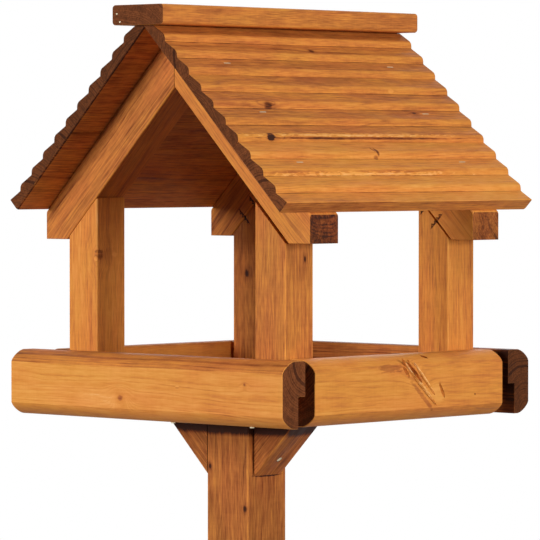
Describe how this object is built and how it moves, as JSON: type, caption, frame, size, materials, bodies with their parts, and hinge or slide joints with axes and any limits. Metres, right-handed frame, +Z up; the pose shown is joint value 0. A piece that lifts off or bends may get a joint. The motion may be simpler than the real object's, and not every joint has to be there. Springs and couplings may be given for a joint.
{
  "type": "bird table",
  "caption": "Wooden garden bird table: railed feeding tray under a ribbed gable roof with a flat ridge cap, on a braced square post with a cross foot.",
  "frame": {"origin": "on the ground, on the axis of the post, at the middle of the cross foot", "axes": "+Z up, +X across the gable to the right as seen from the front, +Y along the ridge to the back"},
  "size_m": [0.56, 0.56, 1.4529],
  "materials": {
    "rail_wood": "planed softwood, honey wood stain, satin",
    "floor_wood": "planed softwood, wood stain, satin",
    "post_wood": "planed softwood, wood stain, satin",
    "rafter_wood": "planed softwood, honey wood stain, satin",
    "roof_wood": "machined ribbed softwood, wood stain, satin",
    "zinc_steel": "zinc plated, dull"
  },
  "bodies": {
    "root": {"front_rail": "rail_wood", "back_rail": "rail_wood", "left_rail": "rail_wood", "right_rail": "rail_wood", "floor_board_1": "floor_wood", "floor_board_2": "floor_wood", "floor_board_3": "floor_wood", "floor_bearer": "floor_wood", "front_left_corner_post": "post_wood", "front_left_rafter": "rafter_wood", "front_right_corner_post": "post_wood", "front_right_rafter": "rafter_wood", "back_left_corner_post": "post_wood", "back_left_rafter": "rafter_wood", "back_right_corner_post": "post_wood", "back_right_rafter": "rafter_wood", "left_roof_board_upper": "roof_wood", "left_roof_board_middle": "roof_wood", "left_roof_board_lower": "roof_wood", "right_roof_board_upper": "roof_wood", "right_roof_board_middle": "roof_wood", "right_roof_board_lower": "roof_wood", "ridge_cap": "roof_wood", "post": "post_wood", "foot_across": "post_wood", "foot_along": "post_wood", "left_tray_brace": "post_wood", "right_tray_brace": "post_wood", "right_foot_brace": "post_wood", "back_foot_brace": "post_wood", "left_foot_brace": "post_wood", "front_foot_brace": "post_wood", "corner_post_screw_1": "zinc_steel", "corner_post_screw_2": "zinc_steel", "corner_post_screw_3": "zinc_steel", "corner_post_screw_4": "zinc_steel", "brace_top_screw_1": "zinc_steel", "brace_top_screw_2": "zinc_steel", "tray_brace_screw_1": "zinc_steel", "tray_brace_screw_2": "zinc_steel", "foot_brace_screw_1": "zinc_steel", "foot_brace_screw_2": "zinc_steel", "foot_brace_screw_3": "zinc_steel", "foot_brace_screw_4": "zinc_steel", "post_top_screw_1": "zinc_steel", "post_top_screw_2": "zinc_steel", "post_foot_screw_1": "zinc_steel", "post_foot_screw_2": "zinc_steel", "corrugated_fastener_1": "zinc_steel", "corrugated_fastener_2": "zinc_steel", "corrugated_fastener_3": "zinc_steel", "corrugated_fastener_4": "zinc_steel", "corrugated_fastener_5": "zinc_steel", "corrugated_fastener_6": "zinc_steel", "corrugated_fastener_7": "zinc_steel", "corrugated_fastener_8": "zinc_steel", "corrugated_fastener_9": "zinc_steel", "corrugated_fastener_10": "zinc_steel"}
  },
  "joints": []
}
